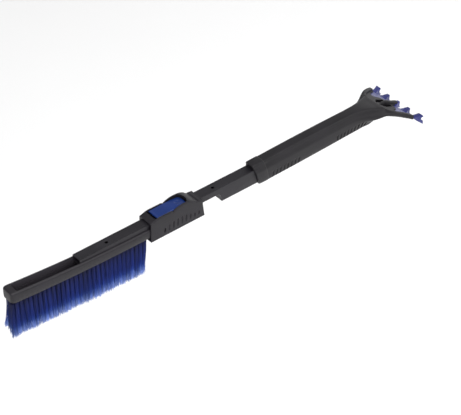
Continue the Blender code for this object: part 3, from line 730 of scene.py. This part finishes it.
def tooth_rings(y):
    """One tooth: it leaves the strip, rises and narrows to a blunt tip with eased edges.

    The two outer teeth are longer and deeper, and flare outwards at their tips.
    """
    rings = []
    outer = abs(y) > 50.0
    if outer:
        tip, drops = TOOTH_TIP_X + 2.2, (-1.0, 1.0, 3.6, 8.2)
    else:
        tip, drops = TOOTH_TIP_X, (-1.0, 0.2, 1.0, 4.2)
    shape = [
        (532.0, 10.0, 0.5, drops[0]), (536.0, 8.0, 0.0, drops[1]), (541.0, 6.0, 0.0, drops[2]),
        (tip, 3.2, 0.0, drops[3]),
    ]
    for x in (532.0, 534.0, 536.0, 538.5, 541.0, 544.0, 547.0, tip):
        _, half, sunk, drop = hermite(shape, x, 0)
        top = tooth_top(x) - max(0.0, sunk)
        low = frame_slope(x) + PLATE_BOTTOM - BLADE_GAP - BLADE_T - drop
        flare = 4.0 * max(0.0, (x - 541.0) / 10.0) if outer else 0.0
        left = max(y - half - (flare if y < 0.0 else 0.0), -BLADE_HALF_W - flare)
        right = min(y + half + (flare if y > 0.0 else 0.0), BLADE_HALF_W + flare)
        ease = 0.2 if x < 533.0 else 0.6
        back = x - 1.2 if x == tip else x
        rings.append([
            (x, left, low), (x, right, low), (back, right, top - ease),
            (back, right - 0.2, top - 0.2), (back, right - ease, top), (back, left + ease, top),
            (back, left + 0.2, top - 0.2), (back, left, top - ease),
        ])
    return rings


def build_blade(mat):
    """Toothed blade: a sloping strip with five forked teeth on its front edge."""
    half = [(523.6, 0.0), (523.6, 17.8), (519.0, 19.8), (513.0, 23.6), (509.4, 27.0),
            (509.0, 33.0), (512.6, 39.0), (516.0, 41.4)]
    half += [(515.0, 43.8), (523.0, 49.8), (529.0, 52.2), (534.0, 53.8), (536.2, 54.6)]
    outline = half + [(x, -y) for x, y in reversed(half[1:])]
    top = PLATE_BOTTOM - BLADE_GAP
    blade = mesh_object("blade_visual", sloped_pocket(outline, top, top - BLADE_T))
    steps = [("UNION", loft(tooth_rings(TOOTH_PITCH * index))) for index in range(-2, 3)]
    cut = "DIFFERENCE"
    for index in range(-2, 2):
        centre = (544.0, TOOTH_PITCH * (index + 0.5), 0.0)
        steps.append((cut, turned([(-50.0, 8.2), (0.0, 8.2)], centre, (0, 0, 1), 40)))
    notch = (TOOTH_TIP_X + 2.2, 0.0, frame_slope(TOOTH_TIP_X) - 3.0)
    steps.append((cut, turned([(-70.0, 4.6), (70.0, 4.6)], notch, (0, 1, 0), 40)))
    for x, y in BLADE_SCREWS:
        point, normal = slope_axis(x, y)
        steps.append((cut, turned([(-20.0, 1.35), (5.0, 1.35)], point, normal, 20)))
    carve(blade, steps)
    return finish_piece(blade, mat, "handle", ["ice_blade"], 30.0)


# ---------------------------------------------------------------- brush head

def block_section(x, z_root, z_top):
    """Brush block section: a soft rounded box, a touch narrower at the bristle face."""
    w = BLOCK_HALF_W
    half = [
        (w - 3.2, z_root), (w - 2.2, z_root + 0.15), (w - 1.5, z_root + 0.6),
        (w - 1.1, z_root + 1.4), (w - 0.8, z_root + 2.6), (w - 0.3, z_root + 5.0),
        (w, z_root + 8.0), (w, z_top - 3.2), (w - 0.25, z_top - 2.1), (w - 0.8, z_top - 1.2),
        (w - 1.7, z_top - 0.4), (w - 2.6, z_top), (w - 3.6, z_top + 0.2),
    ]
    right = [(x, y, z) for y, z in half]
    left = [(x, -y, z) for y, z in reversed(half)]
    return right + left


def build_block(mat):
    """Bowed block with a rounded far end and a trough for the tube."""
    rings = []
    nose = [
        (0.0, 0.58), (0.25, 0.70), (0.8, 0.79), (1.8, 0.87), (3.4, 0.935), (5.6, 0.975),
        (9.0, 1.0),
    ]
    for dx, shrink in nose:
        x = BLOCK_START_X + dx
        root = BLOCK_ROOT_Z + bow(x)
        top = block_top(x)
        mid = (root + top) / 2
        height = 0.5 + 0.5 * shrink
        ring = block_section(x, root, top)
        rings.append([(px, py * shrink, mid + (pz - mid) * height) for px, py, pz in ring])
    for x in spaced(BLOCK_START_X + 18.0, BLOCK_END_X, 34):
        root = BLOCK_ROOT_Z + bow(x)
        rings.append(block_section(x, root, block_top(x)))
    body = mesh_object("block_visual", loft(rings))
    trough = block(
        TROUGH_START_X, BLOCK_END_X + 5.0, -TROUGH_HALF_W, TROUGH_HALF_W, TROUGH_FLOOR_Z, 40.0
    )
    bevel_where(
        trough, 4.0, 8,
        lambda a, b: max(a.x, b.x) < TROUGH_START_X + 8.0 and abs(a.z - b.z) > 9.0,
    )
    channel = []
    half = CHANNEL_HALF_W
    for x in spaced(CHANNEL_START_X, CHANNEL_END_X, 24):
        low = BLOCK_ROOT_Z + 3.0 + bow(x)
        channel.append([(x, -half, low), (x, half, low), (x, half, -3.0), (x, -half, -3.0)])
    steps = [("DIFFERENCE", trough), ("DIFFERENCE", loft(channel))]
    for x in HOUSING_SCREW_X:
        hole = turned([(-24.0, 1.3), (-15.0, 1.3)], (x, 0, 0), (0, 0, 1), 16)
        steps.append(("DIFFERENCE", hole))
    carve(body, steps)
    return finish_piece(body, mat, "brush_head", ["brush_block"])


def filament(points, radius, verts, faces, along, low, high):
    """Three-sided tapering strand through the points; `along` runs from low to high."""
    first = len(verts)
    count = len(points)
    for i, point in enumerate(points):
        s = i / (count - 1)
        r = radius * (1.0 - 0.45 * s)
        for k in range(3):
            a = 2.0 * math.pi * k / 3 + 0.9
            verts.append((point.x + r * math.cos(a), point.y + r * math.sin(a), point.z))
            along.append(low + (high - low) * s)
    for i in range(count - 1):
        for k in range(3):
            a = first + 3 * i + k
            b = first + 3 * i + (k + 1) % 3
            faces.append((a, b, b + 3, a + 3))
    faces.append((first + 2, first + 1, first))
    last = first + 3 * (count - 1)
    faces.append((last, last + 1, last + 2))


def build_bristle_row(index, mat):
    """One row of tufts: bundles of filaments that open out and split at their tips."""
    rng = random.Random(41 + index)
    y_row = BRISTLE_ROW_Y[index]
    verts, faces, along, tone_and_painted_shade = [], [], [], []
    for tuft in range(TUFTS_PER_ROW):
        share = tuft / (TUFTS_PER_ROW - 1)
        x_tuft = BRISTLE_START_X + (BRISTLE_END_X - BRISTLE_START_X) * share
        x_tuft += ROW_OFFSET_X[index]
        root_z = BLOCK_ROOT_Z + bow(x_tuft) - 0.2
        far_end = (1.0 - share) ** 8
        fan = FAR_END_LEAN[index] * far_end + NEAR_END_LEAN * share ** 8 + rng.gauss(0.0, 0.7)
        tuft_tint = rng.uniform(0.30, 0.60)
        tuft_length = BRISTLE_LENGTH + 1.2 * share + rng.uniform(-0.8, 1.0)
        tuft_length += FAR_END_EXTRA[index] * far_end
        for _ in range(FILAMENTS_PER_TUFT):
            start = len(verts)
            a = rng.uniform(0.0, 2.0 * math.pi)
            r = math.sqrt(rng.random())
            dx = 3.0 * r * math.cos(a)
            dy = 2.6 * r * math.sin(a)
            length = tuft_length - 2.0 * r * r + rng.gauss(0.0, 0.9)
            if rng.random() < 0.12:
                length -= rng.uniform(1.5, 6.0)
            tip_x = dx * 0.70 + rng.gauss(0.0, 0.85) + fan
            tip_y = dy * 0.50 + rng.gauss(0.0, 0.60) + y_row * 0.14
            bend = rng.gauss(0.0, 0.5)
            points = []
            for s in (0.0, 0.30, 0.58, 0.80):
                spread = s ** 1.6
                points.append(Vector((
                    x_tuft + dx + tip_x * spread + bend * math.sin(math.pi * s),
                    y_row + dy + tip_y * spread + bend * 0.5 * math.sin(math.pi * s),
                    root_z - length * s,
                )))
            filament(points, 0.31, verts, faces, along, 0.0, 0.80)
            heading = (points[-1] - points[-2]).normalized()
            for _ in range(3):
                reach = length * 0.20 * rng.uniform(0.75, 1.12)
                drift = Vector((rng.gauss(0.0, 0.9), rng.gauss(0.0, 0.7), 0.0))
                middle = points[-1] + heading * reach * 0.5 + drift * 0.35
                end = points[-1] + heading * reach + drift
                filament([points[-1], middle, end], 0.27, verts, faces, along, 0.80, 1.0)
            # painted shade: filaments towards a tuft's edge are darkened, standing in for shade in
            # the gaps between tufts; the random spread around each tuft's tone is the nylon's own
            # variation
            shade = rng.gauss(tuft_tint, 0.11) + 0.34 * (0.55 - abs(dx) / 3.0)
            shade = min(1.0, max(0.0, shade))
            tone_and_painted_shade.extend([shade] * (len(verts) - start))
    mesh = bpy.data.meshes.new(f"bristles_{index + 1}_visual")
    mesh.from_pydata([(x * MM, y * MM, (z + TUBE_AXIS_Z) * MM) for x, y, z in verts], [], faces)
    for name, values in (("along", along), ("tone_and_painted_shade", tone_and_painted_shade)):
        layer = mesh.attributes.new(name, "FLOAT", "POINT")
        layer.data.foreach_set("value", values)
    row = bpy.data.objects.new(mesh.name, mesh)
    bpy.context.scene.collection.objects.link(row)
    return finish_piece(
        row, mat, "brush_head", [f"bristle_row_{index + 1}"], 80.0
    )


def housing_outline():
    """Side profile: sloped bonnet, level sill beside the lever, arched guard behind it."""
    points = [
        (HOUSING_FRONT_X, HOUSING_BOTTOM_Z), (80.5, HOUSING_BOTTOM_Z), (77.0, -4.0),
        (76.6, 6.8), (73.2, 6.9), (71.6, 7.5), (68.6, 7.7), (66.6, 7.3),
    ]
    for step in range(19):
        a = math.radians(18.0 + 136.0 * step / 18)
        points.append((38.0 + 25.0 * math.cos(a), 6.8 + 11.0 * math.sin(a)))
    points += [(13.5, 13.6), (10.0, 14.1), (-15.0, 14.3), (-20.5, 13.4), (HOUSING_FRONT_X, 9.8)]
    return points


def side_groove(x, low, high, side):
    """Upright groove with a rounded bottom and tapering ends in the housing's side."""
    rings = []
    shape = ((0.0, 0.1), (0.08, 1.2), (0.20, 1.8), (0.80, 1.8), (0.92, 1.2), (1.0, 0.1))
    for t, depth in shape:
        z = low + (high - low) * t
        ring = []
        for k in range(9):
            a = math.pi * k / 8
            y = HOUSING_HALF_W + 0.5 - (0.5 + depth) * math.sin(a)
            ring.append((x - 1.9 * math.cos(a), side * y, z))
        ring.append((x + 1.9, side * 19.0, z))
        ring.append((x - 1.9, side * 19.0, z))
        rings.append(ring)
    return loft(rings)


def build_housing(mat):
    """Sleeve round the tube and the block's end, with the lever slot and guard walls."""
    bm = prism(housing_outline(), "y", -HOUSING_HALF_W, HOUSING_HALF_W)
    bevel_where(bm, 2.4, 6, lambda a, b: abs(a.y - b.y) < 0.01 and a.z > 0.0 and b.z > 0.0)
    bevel_where(
        bm, 1.8, 5,
        lambda a, b: (a - b).length > 20.0 and abs(a.x - b.x) < 0.1 and a.x < -30.0,
    )
    housing = mesh_object("housing_visual", bm)
    cut = "DIFFERENCE"
    passage_w = TUBE_HALF_W + 0.35
    socket_w = BLOCK_HALF_W + 0.35
    socket_top = BLOCK_ROOT_Z + BLOCK_HEIGHT + 0.35
    web_half = 6.5
    front_bay = [(SLOT_FRONT_X, -SLOT_HALF_W), (-web_half, -SLOT_HALF_W)]
    front_bay += [(-web_half, SLOT_HALF_W), (SLOT_FRONT_X, SLOT_HALF_W)]
    rear_bay = [(web_half, -SLOT_HALF_W)]
    for step in range(25):
        a = math.radians(-90.0 + 180.0 * step / 24)
        rear_bay.append((SLOT_REAR_X - 9.0 + 9.0 * math.cos(a), SLOT_HALF_W * math.sin(a)))
    rear_bay.append((web_half, SLOT_HALF_W))
    steps = [
        (cut, block(-40.0, 95.0, -passage_w, passage_w, -7.4, TUBE_HALF_H + 0.35)),
        (cut, block(-40.0, 0.2, -socket_w, socket_w, BLOCK_ROOT_Z - 0.35, socket_top)),
        (cut, block(-0.1, 95.0, -passage_w, passage_w, KEEL_BOTTOM_Z - 0.5, -5.0)),
        (cut, prism(front_bay, "z", 6.05, 60.0)),
        (cut, block(-9.0, 9.0, -SLOT_HALF_W, SLOT_HALF_W, 8.0, 60.0)),
        (cut, prism(rear_bay, "z", 6.05, 60.0)),
        (cut, turned([(0.0, 2.9), (20.0, 2.9)], (0, 0, 0), (0, 0, 1), 32)),
        (cut, turned([(-14.6, 1.5), (14.6, 1.5)], (PIVOT_X, 0, PIVOT_Z), (0, 1, 0), 24)),
    ]
    for step in range(SIDE_GROOVES):
        x = SIDE_GROOVE_X + SIDE_GROOVE_PITCH * step
        low = HOUSING_BOTTOM_Z + 5.2 + 0.3 * step
        high = low + 8.5 + 8.5 * math.sin(math.pi * min(1.0, (step + 0.6) / 7.5))
        for side in (-1.0, 1.0):
            steps.append((cut, side_groove(x, low, high, side)))
    for x in HOUSING_SCREW_X:
        profile = [(-32.0, 3.0), (-26.1, 3.0), (-26.1, 1.5), (-18.0, 1.5)]
        steps.append((cut, turned(profile, (x, 0, 0), (0, 0, 1), 24)))
    carve(housing, steps)
    return finish_piece(housing, mat, "brush_head", ["lock_housing"])


def build_lever(mat):
    """See-saw lever: raised front lip, gently crowned top, dished thumb pad behind the pivot."""
    top = [
        (-15.6, 12.6), (-15.3, 13.3), (-14.6, 13.8), (-13.4, 13.9), (-12.2, 13.6), (-10.6, 13.6),
        (-8.0, 13.8), (0.0, 14.1), (8.0, 14.25), (15.0, 14.25), (22.0, 14.1), (28.0, 13.9),
        (34.0, 13.5), (39.0, 13.1), (43.0, 12.6), (46.0, 11.9), (47.8, 11.3), (48.6, 10.6),
    ]
    bottom = [(48.6, 9.3), (30.0, 10.6), (28.4, 9.2), (27.0, 7.8), (25.0, 7.1), (23.0, 7.8),
              (21.6, 9.2), (20.0, 10.9), (8.0, 11.6), (-8.0, 11.6), (-15.6, 10.9)]
    rings = []
    for t in spaced(-1.0, 1.0, 25):
        y = LEVER_HALF_W * t
        edge = max(0.0, abs(t) - 0.90) / 0.10
        drop = 0.35 * t * t + 0.9 * edge ** 2
        ring = [(x, y, max(z - drop, 11.75 if x < 20.0 else 10.2)) for x, z in top[1:-1]]
        rings.append([(-15.6, y, 12.3)] + ring + [(48.6, y, 10.4)] + [(x, y, z) for x, z in bottom])
    lever = mesh_object("lever_visual", loft(rings))
    round_x = 48.6 - LEVER_END_R
    outline = [(-40.0, -LEVER_HALF_W - 1.0), (round_x, -LEVER_HALF_W - 1.0)]
    for step in range(25):
        a = math.radians(-90.0 + 180.0 * step / 24)
        outline.append((round_x + LEVER_END_R * math.cos(a), LEVER_HALF_W * math.sin(a)))
    outline += [(round_x, LEVER_HALF_W + 1.0), (-40.0, LEVER_HALF_W + 1.0)]
    dish = bmesh.new()
    bmesh.ops.create_uvsphere(dish, u_segments=48, v_segments=28, radius=16.0)
    bmesh.ops.translate(dish, verts=dish.verts, vec=(36.5, 0.0, 28.0))
    bore = turned([(-20, 1.5), (20, 1.5)], (PIVOT_X, 0, PIVOT_Z), (0, 1, 0), 24)
    carve(lever, [
        ("INTERSECT", prism(outline, "z", 0.0, 40.0)),
        ("DIFFERENCE", dish),
        ("DIFFERENCE", block(19.4, 30.6, -4.3, 4.3, 5.0, 12.4)),
        ("DIFFERENCE", bore),
    ])
    return finish_piece(lever, mat, "lever", ["release_lever"], 24.0)


# ---------------------------------------------------------------- studio

HORIZON_LIGHT = 1.05
ZENITH_LIGHT = 0.42
# the floor lies well below the bristles, so that they cast no shadow into the view
FLOOR_DROP = 0.40
CAMERA_AZIMUTH = -41.019
CAMERA_ELEVATION = 39.771
CAMERA_ROLL = 1.292
CAMERA_PLACE = (-1.20106, -1.55430, 1.68368)
CAMERA_LENS = 122.80


def build_floor(mat, height):
    bm = bmesh.new()
    bmesh.ops.create_grid(bm, x_segments=2, y_segments=2, size=12.0)
    bmesh.ops.translate(bm, verts=bm.verts, vec=(0.0, 0.0, height))
    mesh = bpy.data.meshes.new("floor")
    bm.to_mesh(mesh)
    bm.free()
    mesh.materials.append(mat)
    floor = bpy.data.objects.new("floor", mesh)
    bpy.context.scene.collection.objects.link(floor)


def build_camera():
    """Long lens, looking down the brush from its bristle end."""
    azimuth = math.radians(CAMERA_AZIMUTH)
    elevation = math.radians(CAMERA_ELEVATION)
    roll = math.radians(CAMERA_ROLL)
    right = Vector((math.cos(azimuth), math.sin(azimuth), 0.0))
    ahead = Vector((
        -math.sin(azimuth) * math.cos(elevation), math.cos(azimuth) * math.cos(elevation),
        -math.sin(elevation),
    ))
    up = right.cross(ahead)
    right_rolled = right * math.cos(roll) + up * math.sin(roll)
    up_rolled = up * math.cos(roll) - right * math.sin(roll)
    matrix = Matrix((right_rolled, up_rolled, -ahead)).transposed().to_4x4()
    matrix.translation = CAMERA_PLACE
    data = bpy.data.cameras.new("camera")
    data.sensor_width = 36.0
    data.lens = CAMERA_LENS
    data.clip_end = 100.0
    camera = bpy.data.objects.new("camera", data)
    camera.matrix_world = matrix
    bpy.context.scene.collection.objects.link(camera)
    bpy.context.scene.camera = camera


def area_light(name, place, target, size, power):
    data = bpy.data.lights.new(name, "AREA")
    data.shape = "SQUARE"
    data.size = size
    data.energy = power
    light = bpy.data.objects.new(name, data)
    light.location = place
    light.rotation_mode = "QUATERNION"
    light.rotation_quaternion = (Vector(target) - Vector(place)).to_track_quat("-Z", "Y")
    bpy.context.scene.collection.objects.link(light)


def build_studio():
    """World that is bright at the horizon and dimmer overhead, and four soft lights."""
    world = bpy.data.worlds.new("studio")
    world.use_nodes = True
    tree = world.node_tree
    background = tree.nodes["Background"]
    split = add_node(tree, "ShaderNodeSeparateXYZ")
    tree.links.new(add_node(tree, "ShaderNodeTexCoord").outputs["Generated"], split.inputs["Vector"])
    strength = remap(tree, split.outputs["Z"], 0.12, 0.60, HORIZON_LIGHT, ZENITH_LIGHT)
    tree.links.new(strength, background.inputs["Strength"])
    background.inputs["Color"].default_value = (1.0, 1.0, 1.0, 1.0)
    bpy.context.scene.world = world
    bpy.context.scene.view_settings.view_transform = "Standard"
    middle = (0.1, 0.0, 0.0)
    area_light("key", (-1.3, -2.2, 1.6), middle, 2.0, 60.0)
    area_light("fill", (2.2, -1.4, 1.4), middle, 2.2, 30.0)
    area_light("top", (0.2, -0.4, 3.0), middle, 2.5, 45.0)
    area_light("rim", (2.9, 1.75, 0.35), (0.5, 0.0, 0.0), 1.6, 4.0)


def main():
    black = moulded_plastic("black_plastic", BLACK, BLACK_EDGE_HIGHLIGHT_AND_SCUFF, 0.46, shine=0.29)
    black_block = block_material()
    grip = moulded_plastic(
        "black_grip", (0.0082, 0.0072, 0.0092), (0.040, 0.036, 0.039), 0.50, shine=0.27)
    tube = moulded_plastic(
        "black_tube", (0.0090, 0.0080, 0.0112), (0.033, 0.031, 0.036), 0.42, 0.6, 0.9, 0.31)
    lever = moulded_plastic(
        "blue_lever", (0.0060, 0.0230, 0.1250), (0.018, 0.060, 0.270), 0.24, 0.08, 0.2, 0.32)
    blade = moulded_plastic(
        "blue_blade", (0.022, 0.026, 0.135), (0.150, 0.160, 0.430), 0.26, 0.2, shine=0.42)
    steel = steel_material()
    nylon = bristle_material()
    build_tube(tube)
    build_grip(grip)
    build_blade(blade)
    build_block(black_block)
    build_housing(black)
    build_lever(lever)
    for index in range(len(BRISTLE_ROW_Y)):
        build_bristle_row(index, nylon)
    for name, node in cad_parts.items():
        if "screw" in name or name in ("lever_pivot_pin", "lever_spring", "lock_pin"):
            node.data.materials.clear()
            node.data.materials.append(steel)
    build_floor(floor_material(), CAD_BOX[0].z - FLOOR_DROP)
    build_studio()
    build_camera()


main()
